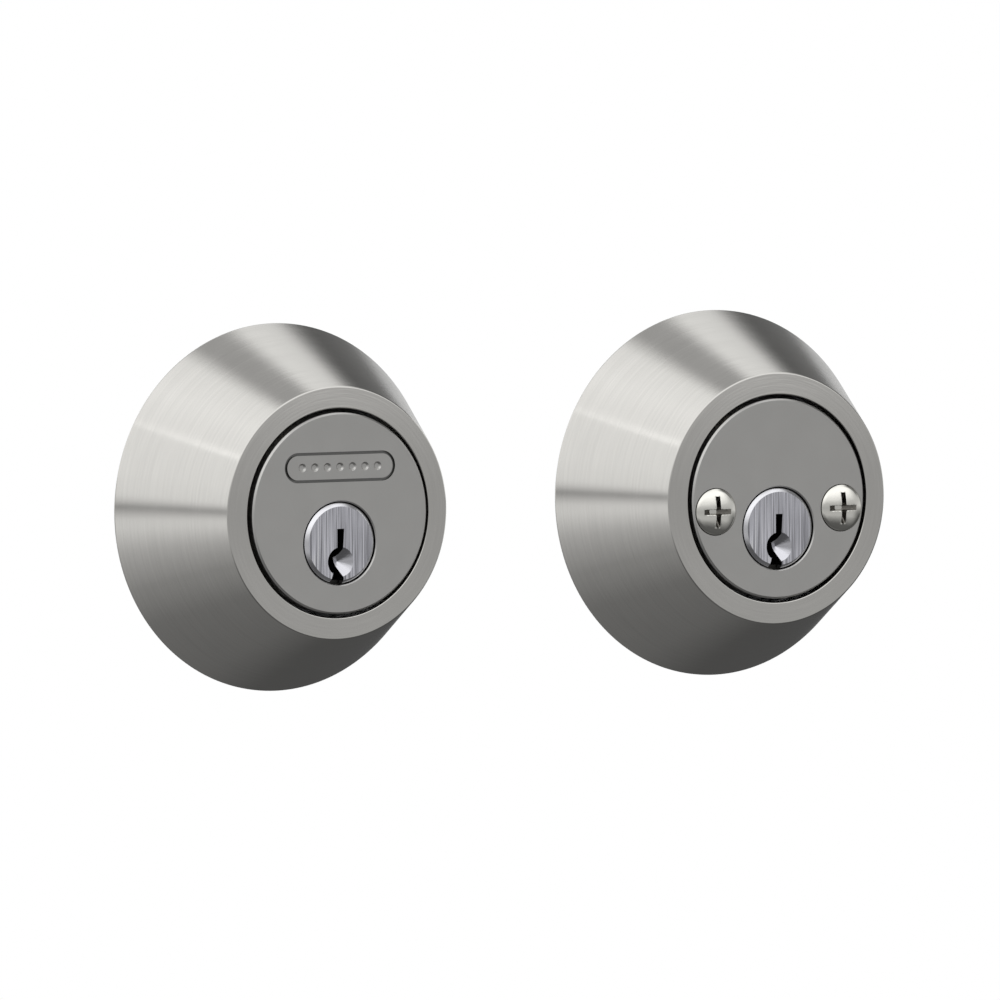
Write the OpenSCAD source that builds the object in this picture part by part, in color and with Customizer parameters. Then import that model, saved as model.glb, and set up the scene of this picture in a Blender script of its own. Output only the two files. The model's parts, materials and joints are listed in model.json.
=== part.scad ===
// Double-cylinder tubular deadbolt, laid out in three groups:
// the outside half on the origin, the inside half to its right, and the bolt
// with its strike to its left, drawn out sideways from the line it is fitted on.
// Frame: +Z up, the fronts of both halves face -Y, and the door face is y = 0.

/* [Collar] */
// Diameter of the collar where it meets the door
collar_d = 63.5; // [62.5:0.1:64.5]
// Outer diameter of the ring at the collar's front
ring_d = 43.7; // [43:0.1:44.5]
// Height of the collar, from the door to the edge of its hole
collar_h = 22.2; // [22:0.1:22.6]
// How far the front ring falls back from its hole to its outer edge
ring_fall = 0.4; // [0:0.1:0.6]
// Diameter of the hole in the collar's front ring
ring_hole_d = 36.1; // [35.8:0.1:36.4]
// Wall thickness of the collar
collar_wall = 2.3; // [2:0.1:2.6]

/* [Cylinder housing] */
// Diameter of the housing's round face
head_d = 34.7; // [34.4:0.1:34.9]
// Thickness of the round face
head_t = 3.4; // [3:0.1:3.8]
// How far the outside face stands in front of the ring
head_proud_outside = 0.6; // [0.4:0.1:0.9]
// How far the inside face stands in front of the ring
head_proud_inside = 0.35; // [0.2:0.05:0.6]
// Distance from the collar's axis down to the plug's axis
plug_drop = 5.15; // [5:0.05:5.3]
// Distance between the two mounting screws
screw_spacing = 25.4; // [25.2:0.1:25.6]
// Height of the mounting screws above the plug's axis
screw_rise = 3.2; // [3:0.1:3.4]
// Diameter of the threaded posts on the outside housing
post_d = 7.2; // [6.8:0.1:7.2]

/* [Plug] */
// Diameter of the plug's body
plug_d = 12.7; // [12.6:0.01:12.72]
// Diameter of the plug's front shoulder
shoulder_d = 13.9; // [13.7:0.1:14]
// Diameter of the counterbore around the shoulder
counterbore_d = 14.4; // [14.3:0.1:14.6]
// Number of pin stacks in each cylinder
pin_count = 5; // [3:1:5]
// Distance between neighbouring pins
pin_pitch = 3.96; // [3.9:0.01:4]
// Diameter of the pins
pin_d = 2.84; // [2.8:0.01:2.86]

/* [Door] */
// Thickness of the door that the screws are cut for
door_t = 35; // [35:0.5:36]
// Distance from the door's edge to the cylinder's axis
backset = 60.3; // [60:0.1:61]
// Distance between the axes of the two halves as laid out
half_gap = 88.35; // [80:0.05:100]

/* [Bolt] */
// Travel of the deadbolt
throw = 25.4; // [25.2:0.1:25.4]
// Thickness of the deadbolt bar
bar_t = 15.9; // [15:0.1:16.2]
// Diameter that the bar's top and bottom are rounded to
bar_d = 22.2; // [21.8:0.1:22.4]
// Outer diameter of the bolt's tube, for a 25.4 mm bore in the door's edge
tube_d = 25; // [25:0.1:25.2]
// Height of the faceplate and of the strike
face_h = 57.15; // [56:0.05:58]
// Width of the faceplate
face_w = 25.4; // [25:0.1:26]
// Distance between the screw holes of the faceplate and of the strike
face_spacing = 41.3; // [41:0.1:42]

/* [Hidden] */

$fn = 96;
cut = 1;                                  // how far a cutter runs past a face

// Collar, guard ring and spring
collar_r = collar_d / 2;
ring_r = ring_d / 2;
rim_h = 0.5;                              // straight edge at the collar's rim
edge = 0.25;                              // broken edges on the ring
flange_t = 3;                             // thickness of the collar's front ring
flange_back = collar_h - flange_t;
inner_rim_r = collar_r - collar_wall - 0.15;
inner_top_r = ring_r - 0.9;
guard_inner_r = 18.3;
guard_outer_r = 20.2;
guard_flange_r = 26.8;
guard_top = 16.6;
plate_t = 2;                              // adapter and mounting plates
plate_r = 27.8;
guard_flange_t = 1.6;
wave_t = 0.4;
wave_rise = 0.7;
wave_mid = (guard_top + flange_back) / 2;
wave_count = 3;
wave_steps = 48;
spigot_r = 26.7;                          // centres the plate in a 54 mm cross bore
spigot_h = 4;
spigot_wall = 1.6;

// Housing
head_r = head_d / 2;
head_edge = 0.3;                          // broken edge on the round face
face_outside = collar_h + head_proud_outside;
face_inside = collar_h + head_proud_inside;
barrel_r = 8.7;
chest_w = 10.4;                           // block that holds the pin chambers
chest_top = 17.6;                         // above the plug's axis
body_back = -5.6;                         // rear end of the housing, behind the door face
post_r = post_d / 2;
post_back = -15;
post_thread_r = 1.75;
post_thread_end = -4;
boss_r = 4.5;
boss_back = plate_t;
screw_r = 2.083;
screw_hole_r = 2.35;
screw_head_r = 4;
screw_cone_h = 2;
screw_dome_h = 0.95;
screw_back = -28;
screw_x = screw_spacing / 2;
screw_y = screw_rise - plug_drop;
counterbore_depth = 1.6;
bore_clear = 0.05;                        // running fit of the plug

// Plain obround badge on the outside face
badge_y = 8;
badge_w = 22;
badge_h = 5.2;
badge_line = 0.5;
badge_depth = 0.5;
dimple_depth = 0.3;
dimple_count = 7;
dimple_pitch = 2.5;
dimple_r = 0.75;

// Plug, pins and cap
plug_r = plug_d / 2;
shoulder_r = shoulder_d / 2;
shoulder_t = 1.45;
shoulder_edge = 0.45;                     // depth of the shoulder's chamfer
shoulder_run = 0.6;                       // width of the shoulder's chamfer
plug_proud = 0.2;
plug_back = -5.4;
neck_r = 5.8;
neck_back = -7.95;
keyway_back = -4;
dish_r = 2.55;                            // lead-in dish at the keyway's mouth
dish_depth = 1.3;
dish_y = -3.2;
pin_r = pin_d / 2;
chamber_r = pin_r + 0.05;
first_pin = 5.9;                          // from the plug's face
shear_key = 6.12;                         // tops of the key pins, above the plug's axis
shear_driver = 6.46;
driver_top = 11.6;
key_pin_lengths = [5.2, 4.6, 5.8, 4.9, 5.5];
pin_tip = 0.7;
spring_low = 11.75;
spring_high = 16.6;
spring_turns = 5;
spring_steps = 8;                         // per turn
spring_r = 1.1;
wire = 0.36;
cover_w = 3.7;
cover_low = 16.85;
cover_clear = 0.05;
cap_r = 7.6;
cap_front = -5.65;
cap_back = -9.2;
cap_wall = 1.1;
cap_hole_r = 3.7;
cap_pin_r = 0.48;
cap_pin_front = -2.5;
cap_pin_back = -7.6;

// Tailpiece
tail_head_w = 8.8;
tail_blade_w = 6.6;
tail_t = 2;
tail_front = -5.95;
tail_step = -7.9;
tail_back = -(door_t / 2 - 0.5);
recess_r = 4.7;
recess_front = -5.8;
stop_gap = 0.05;                          // between the tailpiece and the plug's stops

// Bolt; its own frame has +X to the rear and its centre on the bar's axis
case_rear_limit = -54;
case_rear = 18.8;
cam_x = case_rear_limit - case_rear;
bolt_y = door_t / 2;
case_half_t = 6.5;
case_half_h = 10.6;
case_wall = 1.2;
case_front = -20.5;
nose_front = -22.6;
nose_r = 11.65;
tube_r = tube_d / 2;
tube_inner_r = 11.7;
faceplate_t = 2;
backplate_t = 1.2;
face_corner_r = 5;
bar_r = bar_d / 2;
bar_rear = -24.3;
bar_edge = 0.8;
bar_clear = 0.4;
journal_r = 4.6;
hub_r = 5.4;
hub_half_w = 4.8;
journal_half_w = 6.9;
tail_slot_w = 7;
tail_slot_t = 2.4;
link_low = 3.9;
link_high = 10.3;
link_gap = 2.4;                           // half the space between the link's plates
link_half_w = 4.4;
link_front = -34;
pin_lift = throw / 2;                     // drive pin's height above the hub's axis
drive_pin_r = 1.4;
drive_x = throw / 2;                      // drive pin's place with the bolt withdrawn
link_rear = drive_x + 3;
fork_gap = 2.5;                           // half the fork's slot: the pin and 1.1 mm play
fork_half_w = 4.1;
fork_start = 10.7;
fork_tip = 18.6;
arm_half_w = 2.5;
arm_half_t = 2;
roller_r = 2.4;
roller_z = -4.5;
roller_front = -56.5;
roller_len = 30;
rivet_r = 1.6;
rivet_x = -29.3;
case_rivet_r = 1.1;
case_rivets_at = [[-16.9, -7.2], [15.2, -7.4]];
strike_gap = 3.2;                         // between the door's edge and its frame
strike_t = 2;
strike_w = 28.6;
strike_hole = [18.4, 24.8];
hole_r = 2.3;                             // screw holes of the faceplate and strike
sink_r = 4;
sink_share = 0.6;                         // of the plate's thickness
fine = 48;                                // facets on small round parts

// ---------------------------------------------------------------- frames

// Places a half: its own frame has +X to the right, +Y up and +Z to the front.
module half(x) {
  translate([x, 0, 0]) rotate([90, 0, 0]) children();
}

module on_plug_axis() {
  translate([0, -plug_drop, 0]) children();
}

module at_bolt() {
  translate([cam_x, bolt_y, 0]) children();
}

// A cylinder along Z between two heights.
module rod(r, low, high) {
  translate([0, 0, low]) cylinder(r = r, h = high - low);
}

// A cylinder along X between two places in the bolt's frame.
module rod_x(r, low, high) {
  translate([low, 0, 0]) rotate([0, 90, 0]) cylinder(r = r, h = high - low);
}

// A cylinder along Y, centred on the bolt's middle plane.
module rod_y(r, half_w) {
  rotate([90, 0, 0]) cylinder(r = r, h = 2 * half_w, center = true);
}

module block(low, high) {
  translate(low) cube(high - low);
}

module at_screws() {
  for (side = [-1, 1]) translate([side * screw_x, screw_y, 0]) children();
}

// A rectangle with round corners, centred.
module round_rectangle(w, h, r) {
  square([w - 2 * r, h], center = true);
  square([w, h - 2 * r], center = true);
  for (x = [-1, 1], y = [-1, 1]) translate([x * (w / 2 - r), y * (h / 2 - r)]) circle(r = r);
}

module obround(w, h) {
  square([w - h, h], center = true);
  for (x = [-1, 1]) translate([x * (w - h) / 2, 0]) circle(r = h / 2);
}

// ---------------------------------------------------------------- collar group

module collar() {
  rotate_extrude() polygon([
    [inner_rim_r, 0], [collar_r, 0], [collar_r, rim_h], [ring_r, collar_h - ring_fall - edge],
    [ring_r - edge, collar_h - ring_fall], [ring_hole_d / 2 + edge, collar_h],
    [ring_hole_d / 2, collar_h - edge], [ring_hole_d / 2, flange_back],
    [inner_top_r, flange_back]
  ]);
}

module guard_ring() {
  rotate_extrude() polygon([
    [guard_inner_r, plate_t], [guard_flange_r, plate_t],
    [guard_flange_r, plate_t + guard_flange_t], [guard_outer_r + 1, plate_t + guard_flange_t],
    [guard_outer_r, plate_t + guard_flange_t + 1], [guard_outer_r, guard_top],
    [guard_inner_r, guard_top]
  ]);
}

// A flat ring bent into three waves.
module wave_spring() {
  inner = guard_inner_r + 0.4;
  outer = guard_outer_r;
  function lift(i) = wave_mid + wave_rise * sin(wave_count * i * 360 / wave_steps);
  function ring_point(i, r, dz) =
    [r * cos(i * 360 / wave_steps), r * sin(i * 360 / wave_steps), lift(i) + dz];
  points = [
    for (i = [0:wave_steps - 1])
      each [
        ring_point(i, inner, -wave_t / 2), ring_point(i, outer, -wave_t / 2),
        ring_point(i, outer, wave_t / 2), ring_point(i, inner, wave_t / 2)
      ]
  ];
  faces = [
    for (i = [0:wave_steps - 1], k = [0:3])
      let (a = 4 * i, b = 4 * ((i + 1) % wave_steps), n = (k + 1) % 4)
        each [[a + k, b + n, b + k], [a + k, a + n, b + n]]
  ];
  polyhedron(points, faces);
}

// The opening that the housing's body passes through.
module body_opening(low, high) {
  on_plug_axis() {
    rod(barrel_r + 0.4, low, high);
    block([-chest_w / 2 - 0.4, 0, low], [chest_w / 2 + 0.4, chest_top + 0.5, high]);
  }
}

module adapter_plate() {
  difference() {
    union() {
      rod(plate_r, 0, plate_t);
      difference() {
        rod(spigot_r, -spigot_h, plate_t / 2);
        rod(spigot_r - spigot_wall, -spigot_h - cut, plate_t);
      }
    }
    body_opening(-cut, plate_t + cut);
    at_screws() rod(post_r + 0.4, -cut, plate_t + cut);
  }
}

module mounting_plate() {
  difference() {
    rod(plate_r, 0, plate_t);
    body_opening(-cut, plate_t + cut);
    at_screws() rod(screw_hole_r, -cut, plate_t + cut);
  }
}

// ---------------------------------------------------------------- housing

module at_pins(face) {
  for (i = [0:pin_count - 1])
    on_plug_axis() translate([0, 0, face - first_pin - i * pin_pitch]) children();
}

// Space for the chamber cover: over all the chambers, and past them at both ends.
module cover_bar(face, low, high = chest_top, side_gap = 0) {
  length_past = 2.2 + side_gap;
  half_w = cover_w / 2 + side_gap;
  on_plug_axis() block(
    [-half_w, low, face - first_pin - (pin_count - 1) * pin_pitch - length_past],
    [half_w, high, face - first_pin + length_past]
  );
}

module housing_solid(face) {
  rod(head_r, face - head_t, face - head_edge);
  translate([0, 0, face - head_edge]) cylinder(r1 = head_r, r2 = head_r - head_edge, h = head_edge);
  on_plug_axis() {
    rod(barrel_r, body_back, face - head_t / 2);
    block([-chest_w / 2, 0, body_back], [chest_w / 2, chest_top, face - head_t / 2]);
  }
}

module housing_cuts(face) {
  on_plug_axis() {
    rod(plug_r + bore_clear, body_back - cut, face);
    rod(counterbore_d / 2, face - counterbore_depth, face + cut);
    translate([0, 0, face - 0.2])
      cylinder(r1 = counterbore_d / 2, r2 = counterbore_d / 2 + 0.2 + 0.01, h = 0.21);
  }
  at_pins(face) rotate([-90, 0, 0]) rod(chamber_r, 0, chest_top + cut, $fn = fine);
  cover_bar(face, cover_low - cover_clear, chest_top + cut, cover_clear);
}

module badge_cuts(face) {
  translate([0, badge_y, face]) {
    translate([0, 0, -badge_depth]) linear_extrude(badge_depth + cut) difference() {
      obround(badge_w, badge_h);
      obround(badge_w - 2 * badge_line, badge_h - 2 * badge_line);
    }
    for (i = [0:dimple_count - 1])
      translate([(i - (dimple_count - 1) / 2) * dimple_pitch, 0, -dimple_depth])
        cylinder(r1 = dimple_r * 0.6, r2 = dimple_r, h = dimple_depth + 0.01, $fn = fine);
  }
}

module outside_housing_shape() {
  difference() {
    union() {
      housing_solid(face_outside);
      at_screws() rod(post_r, post_back, face_outside - head_t / 2);
      for (side = [-1, 1])
        block([side * 10 - 2.5, screw_y - 1, plate_t + 0.2], [side * 10 + 2.5, screw_y + 1, 20]);
    }
    housing_cuts(face_outside);
    at_screws() rod(post_thread_r, post_back - cut, post_thread_end, $fn = fine);
    badge_cuts(face_outside);
  }
}

module inside_housing_shape() {
  difference() {
    union() {
      housing_solid(face_inside);
      at_screws() rod(boss_r, boss_back, face_inside - head_t / 2);
    }
    housing_cuts(face_inside);
    at_screws() {
      rod(screw_hole_r, boss_back - cut, face_inside);
      translate([0, 0, face_inside - screw_cone_h - 0.1])
        cylinder(r1 = screw_hole_r, r2 = screw_head_r + 0.15, h = screw_cone_h + 0.11);
    }
  }
}

// ---------------------------------------------------------------- plug group

// The keyway's outline: a straight slot that swings left round a ward,
// comes back to the right, and opens at the plug's bottom.
module keyway_outline() {
  bow_r = 2.52;                           // radius of the left-hand bow
  bow_y = -3.2;
  polygon(concat(
    [[0.72, 2.5], [-0.66, 2.5], [-0.66, -0.8]],
    [for (a = [112:10:222]) [bow_r * cos(a) - 0.02, bow_y + bow_r * sin(a)]],
    [[-1.45, -5.1], [-1.95, -6.6], [-2.1, -7.6], [0.45, -7.6], [0.62, -5.95],
     [-0.45, -4.1], [-1.15, -2.75], [-1.2, -2.45], [-0.55, -2.2], [0, -1.8], [0.5, -1]]
  ));
}

// Room for the tailpiece's head: it stops against two quarter blocks, 90 degrees apart.
module tail_recess() {
  stop = tail_t / 2 + stop_gap;
  difference() {
    rod(recess_r, neck_back - cut, recess_front);
    block([-recess_r - cut, stop, neck_back - 2 * cut], [-stop, recess_r + cut, 0]);
    block([stop, -recess_r - cut, neck_back - 2 * cut], [recess_r + cut, -stop, 0]);
  }
}

module plug(face) {
  front = face + plug_proud;
  on_plug_axis() difference() {
    union() {
      rod(plug_r, plug_back, front - shoulder_t + 0.01);
      rod(shoulder_r, front - shoulder_t, front - shoulder_edge);
      translate([0, 0, front - shoulder_edge])
        cylinder(r1 = shoulder_r, r2 = shoulder_r - shoulder_run, h = shoulder_edge);
      rod(neck_r, neck_back, plug_back);
    }
    translate([0, 0, keyway_back]) linear_extrude(front - keyway_back + cut) keyway_outline();
    translate([0, dish_y, front - dish_depth])
      cylinder(r1 = 0.02, r2 = dish_r, h = dish_depth + 0.005, $fn = fine);
    for (i = [0:pin_count - 1])
      translate([0, 0, front - plug_proud - first_pin - i * pin_pitch])
        rotate([-90, 0, 0]) rod(chamber_r, 0.5, plug_r + cut, $fn = fine);
    tail_recess();
    translate([0, neck_r, 0]) rod(cap_pin_r + 0.03, cap_pin_back - cut, cap_pin_front, $fn = 24);
  }
}

module key_pins(face) {
  for (i = [0:pin_count - 1])
    on_plug_axis() translate([0, 0, face - first_pin - i * pin_pitch]) rotate([-90, 0, 0]) {
      rod(pin_r, shear_key - key_pin_lengths[i] + pin_tip, shear_key, $fn = fine);
      translate([0, 0, shear_key - key_pin_lengths[i]])
        cylinder(r1 = pin_r * 0.35, r2 = pin_r, h = pin_tip, $fn = fine);
    }
}

module driver_pins(face) {
  at_pins(face) rotate([-90, 0, 0]) rod(pin_r, shear_driver, driver_top, $fn = fine);
}

// A coil of square wire, standing on the driver pin.
module coil() {
  steps = spring_turns * spring_steps;
  rise = (spring_high - spring_low - wire) / steps;
  function coil_point(i, dr, dz) =
    let (a = i * 360 / spring_steps)
      [(spring_r + dr) * cos(a), (spring_r + dr) * sin(a), spring_low + i * rise + dz];
  points = [
    for (i = [0:steps])
      each [
        coil_point(i, -wire / 2, 0), coil_point(i, wire / 2, 0),
        coil_point(i, wire / 2, wire), coil_point(i, -wire / 2, wire)
      ]
  ];
  sides = [
    for (i = [0:steps - 1], k = [0:3])
      let (a = 4 * i, b = a + 4, n = (k + 1) % 4) each [[a + k, b + n, b + k], [a + k, a + n, b + n]]
  ];
  last = 4 * steps;
  ends = [[0, 3, 2], [0, 2, 1], [last, last + 1, last + 2], [last, last + 2, last + 3]];
  polyhedron(points, concat(sides, ends));
}

module pin_springs(face) {
  at_pins(face) rotate([-90, 0, 0]) coil();
}

module plug_cap() {
  on_plug_axis() difference() {
    rod(cap_r, cap_back, cap_front);
    rod(neck_r + bore_clear, cap_back + cap_wall, cap_front + cut);
    rod(cap_hole_r, cap_back - cut, cap_front);
    translate([0, neck_r, 0]) rod(cap_pin_r + 0.03, cap_back + cap_wall, cap_front + cut, $fn = 24);
  }
}

module cap_pin() {
  on_plug_axis() translate([0, neck_r, 0]) rod(cap_pin_r, cap_pin_back, cap_pin_front - 0.1, $fn = 24);
}

module tailpiece() {
  on_plug_axis() {
    block([-tail_head_w / 2, -tail_t / 2, tail_step], [tail_head_w / 2, tail_t / 2, tail_front]);
    block([-tail_blade_w / 2, -tail_t / 2, tail_back], [tail_blade_w / 2, tail_t / 2, tail_step]);
  }
}

// ---------------------------------------------------------------- mounting screws

// A cross recess below z = 0: two blades that narrow towards the bottom of the hole.
module cross_recess() {
  depth = 2.1;
  span = 5.4;
  blade = 0.9;
  core = 1.5;
  intersection() {
    union() {
      cube([span, blade, 2 * depth], center = true);
      cube([blade, span, 2 * depth], center = true);
      rotate([0, 0, 45]) cube([core, core, 2 * depth], center = true);
    }
    translate([0, 0, -depth]) cylinder(r1 = 0.7, r2 = 3.25, h = depth, $fn = fine);
  }
}

module mounting_screw() {
  rim = 0.15;
  dome_r = (pow(screw_head_r, 2) + pow(screw_dome_h, 2)) / (2 * screw_dome_h);
  difference() {
    union() {
      rod(screw_r, screw_back, face_inside - 1, $fn = fine);
      translate([0, 0, face_inside - screw_cone_h + 0.1])
        cylinder(r1 = screw_r, r2 = screw_head_r, h = screw_cone_h - 0.1);
      rod(screw_head_r, face_inside, face_inside + rim);
      intersection() {
        rod(screw_head_r, face_inside + rim, face_inside + rim + screw_dome_h + cut);
        translate([0, 0, face_inside + rim + screw_dome_h - dome_r]) sphere(r = dome_r, $fn = 96);
      }
    }
    translate([0, 0, face_inside + rim + screw_dome_h + 0.01]) cross_recess();
  }
}

// ---------------------------------------------------------------- bolt group

// The bar's section: a disc with two flats.
module bar_section(x_low, x_high, grow, front_edge = 0) {
  intersection() {
    union() {
      rod_x(bar_r + grow, x_low + front_edge, x_high);
      if (front_edge > 0)
        translate([x_low, 0, 0]) rotate([0, 90, 0])
          cylinder(r1 = bar_r - front_edge, r2 = bar_r, h = front_edge);
    }
    block(
      [x_low - cut, -bar_t / 2 - grow, -bar_r - cut - grow],
      [x_high + cut, bar_t / 2 + grow, bar_r + cut + grow]
    );
  }
}

module plate_x(x_low, t, w, h, r) {
  translate([x_low, 0, 0]) rotate([90, 0, 90]) linear_extrude(t) round_rectangle(w, h, r);
}

module plate_holes(x_low, t, sink_low) {
  for (side = [-1, 1]) translate([0, 0, side * face_spacing / 2]) {
    rod_x(hole_r, x_low - cut, x_low + t + cut, $fn = fine);
    translate([sink_low ? x_low - 0.01 : x_low + t + 0.01, 0, 0])
      rotate([0, sink_low ? 90 : -90, 0])
        cylinder(r1 = sink_r, r2 = hole_r, h = t * sink_share, $fn = fine);
  }
}

module bolt_faceplate() {
  color("silver") at_bolt() difference() {
    plate_x(-backset, faceplate_t, face_w, face_h, face_corner_r);
    bar_section(-backset - cut, -backset + faceplate_t + cut, bar_clear);
    plate_holes(-backset, faceplate_t, true);
  }
}

module bolt_backplate() {
  low = -backset + faceplate_t;
  color("gray") at_bolt() difference() {
    plate_x(low, backplate_t, face_w - 1.2, face_h - 1.2, face_corner_r - 0.6);
    rod_x(tube_inner_r, low - cut, low + backplate_t + cut);
    for (side = [-1, 1]) translate([0, 0, side * face_spacing / 2])
      rod_x(hole_r, low - cut, low + backplate_t + cut, $fn = fine);
  }
}

module bolt_tube() {
  low = -backset + faceplate_t + backplate_t;
  color("silver") at_bolt() difference() {
    rod_x(tube_r, low, case_front);
    rod_x(tube_inner_r, low - cut, case_front + cut);
  }
}

module case_solid() {
  block([case_front, -case_half_t, -case_half_h], [case_rear, case_half_t, case_half_h]);
  intersection() {
    rod_x(nose_r, nose_front, case_front + 0.5);
    block([nose_front, -case_half_t, -case_half_h], [case_front + cut, case_half_t, case_half_h]);
  }
}

module case_cuts() {
  inner_t = case_half_t - case_wall;
  inner_h = case_half_h - case_wall;
  block(
    [case_front + case_wall, -inner_t, -inner_h],
    [case_rear - case_wall, inner_t, case_half_h + cut]
  );
  // way out for the link, through the front wall and the nose
  block(
    [nose_front - cut, -link_half_w - 0.4, link_low - 0.5],
    [case_front + 2 * cut, link_half_w + 0.4, nose_r + cut]
  );
  // window under the hub
  block([-hub_r - 1, -inner_t, -case_half_h - cut], [hub_r + 1, inner_t, 0]);
  translate([0, 0, -plug_drop]) rod_y(journal_r + bore_clear, case_half_t + cut);
  for (at = case_rivets_at) translate([at[0], 0, at[1]])
    rod_y(case_rivet_r, case_half_t + cut, $fn = fine);
}

module case_front_half() {
  color("darkgray") at_bolt() difference() {
    intersection() {
      case_solid();
      block([-40, -20, -20], [40, 0, 20]);
    }
    case_cuts();
    for (side = [-1, 1]) translate([side * screw_x, -case_half_t, screw_y])
      rod_y(post_r + 0.4, case_wall + cut);
  }
}

module case_back_half() {
  color("darkgray") at_bolt() difference() {
    intersection() {
      case_solid();
      block([-40, 0, -20], [40, 20, 20]);
    }
    case_cuts();
    for (side = [-1, 1]) translate([side * screw_x, case_half_t, screw_y])
      rod_y(screw_hole_r, case_wall + cut, $fn = fine);
  }
}

module case_rivets() {
  head_t = 0.6;
  color("silver") at_bolt() for (at = case_rivets_at) translate([at[0], 0, at[1]]) {
    rod_y(case_rivet_r - 0.02, case_half_t, $fn = fine);
    for (side = [-1, 1]) translate([0, side * (case_half_t + head_t / 2), 0])
      rod_y(case_rivet_r + 0.7, head_t / 2, $fn = fine);
  }
}

module deadbolt_bar() {
  color("silver") at_bolt() difference() {
    bar_section(-backset, bar_rear, 0, bar_edge);
    block(
      [link_front - 0.2, -link_half_w - 0.1, link_low - 0.1],
      [bar_rear + cut, link_half_w + 0.1, bar_r + cut]
    );
    translate([0, 0, roller_z])
      rod_x(roller_r + bore_clear, roller_front - 0.3, bar_rear + cut, $fn = fine);
    translate([rivet_x, 0, (link_low + link_high) / 2]) rod_y(rivet_r, bar_t, $fn = fine);
  }
}

module hardened_roller() {
  color("dimgray") at_bolt() translate([0, 0, roller_z])
    rod_x(roller_r, roller_front, roller_front + roller_len, $fn = fine);
}

module bolt_link() {
  color("gray") at_bolt() difference() {
    block([link_front, -link_half_w, link_low], [link_rear, link_half_w, link_high]);
    block([bar_rear - 0.2, -link_gap, link_low - cut], [link_rear + cut, link_gap, link_high + cut]);
    translate([rivet_x, 0, (link_low + link_high) / 2]) rod_y(rivet_r, bar_t, $fn = fine);
    translate([drive_x, 0, pin_lift - plug_drop]) rod_y(drive_pin_r, bar_t, $fn = fine);
  }
}

module link_rivet() {
  color("silver") at_bolt() translate([rivet_x, 0, (link_low + link_high) / 2])
    rod_y(rivet_r - 0.02, bar_t / 2 - 0.3, $fn = fine);
}

module drive_pin() {
  color("silver") at_bolt() translate([drive_x, 0, pin_lift - plug_drop])
    rod_y(drive_pin_r - 0.02, link_half_w, $fn = fine);
}

module cam() {
  color("goldenrod") at_bolt() translate([0, 0, -plug_drop]) difference() {
    union() {
      rod_y(hub_r, hub_half_w);
      rod_y(journal_r, journal_half_w);
      // forked arm, leaning 45 degrees to the rear with the bolt withdrawn
      rotate([0, 45, 0]) {
        block([-arm_half_w, -arm_half_t, 0], [arm_half_w, arm_half_t, fork_start]);
        block([-fork_half_w, -arm_half_t, fork_start - 1.8], [fork_half_w, arm_half_t, fork_tip]);
      }
    }
    rotate([0, 45, 0])
      block([-fork_gap, -arm_half_t - cut, fork_start], [fork_gap, arm_half_t + cut, fork_tip + cut]);
    block(
      [-tail_slot_w / 2, -journal_half_w - cut, -tail_slot_t / 2],
      [tail_slot_w / 2, journal_half_w + cut, tail_slot_t / 2]
    );
  }
}

module detent_spring() {
  leaf_t = 0.6;
  leaf_x = -6.9;
  floor_z = -case_half_h + case_wall;
  half_w = 3.2;
  color("silver") at_bolt() {
    block([-12, -half_w, floor_z], [leaf_x + leaf_t, half_w, floor_z + leaf_t]);
    block([leaf_x, -half_w, floor_z], [leaf_x + leaf_t, half_w, -4.2]);
    translate([leaf_x + leaf_t, 0, -4.9]) rod_y(0.5, half_w, $fn = 24);
  }
}

module strike_plate() {
  low = -backset - strike_gap - strike_t;
  color("silver") at_bolt() difference() {
    plate_x(low, strike_t, strike_w, face_h, face_corner_r);
    plate_x(low - cut, strike_t + 2 * cut, strike_hole[0], strike_hole[1], 2);
    plate_holes(low, strike_t, false);
  }
}

// ---------------------------------------------------------------- nodes

module outside_collar() { color("lightgray") half(0) collar(); }
module outside_guard_ring() { color("dimgray") half(0) guard_ring(); }
module outside_wave_spring() { color("silver") half(0) wave_spring(); }
module outside_adapter_plate() { color("gray") half(0) adapter_plate(); }
module outside_housing() { color("darkgray") half(0) outside_housing_shape(); }
module outside_plug() { color("lightsteelblue") half(0) plug(face_outside); }
module outside_key_pins() { color("goldenrod") half(0) key_pins(face_outside); }
module outside_driver_pins() { color("goldenrod") half(0) driver_pins(face_outside); }
module outside_pin_springs() { color("silver") half(0) pin_springs(face_outside); }
module outside_chamber_cover() { color("goldenrod") half(0) cover_bar(face_outside, cover_low); }
module outside_plug_cap() { color("goldenrod") half(0) plug_cap(); }
module outside_cap_pin() { color("silver") half(0) cap_pin(); }
module outside_tailpiece() { color("silver") half(0) tailpiece(); }

module inside_collar() { color("lightgray") half(half_gap) collar(); }
module inside_guard_ring() { color("dimgray") half(half_gap) guard_ring(); }
module inside_wave_spring() { color("silver") half(half_gap) wave_spring(); }
module inside_mounting_plate() { color("gray") half(half_gap) mounting_plate(); }
module inside_housing() { color("darkgray") half(half_gap) inside_housing_shape(); }
module inside_plug() { color("lightsteelblue") half(half_gap) plug(face_inside); }
module inside_key_pins() { color("goldenrod") half(half_gap) key_pins(face_inside); }
module inside_driver_pins() { color("goldenrod") half(half_gap) driver_pins(face_inside); }
module inside_pin_springs() { color("silver") half(half_gap) pin_springs(face_inside); }
module inside_chamber_cover() { color("goldenrod") half(half_gap) cover_bar(face_inside, cover_low); }
module inside_plug_cap() { color("goldenrod") half(half_gap) plug_cap(); }
module inside_cap_pin() { color("silver") half(half_gap) cap_pin(); }
module inside_tailpiece() { color("silver") half(half_gap) tailpiece(); }
module mounting_screws() { color("gainsboro") half(half_gap) at_screws() mounting_screw(); }

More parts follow.
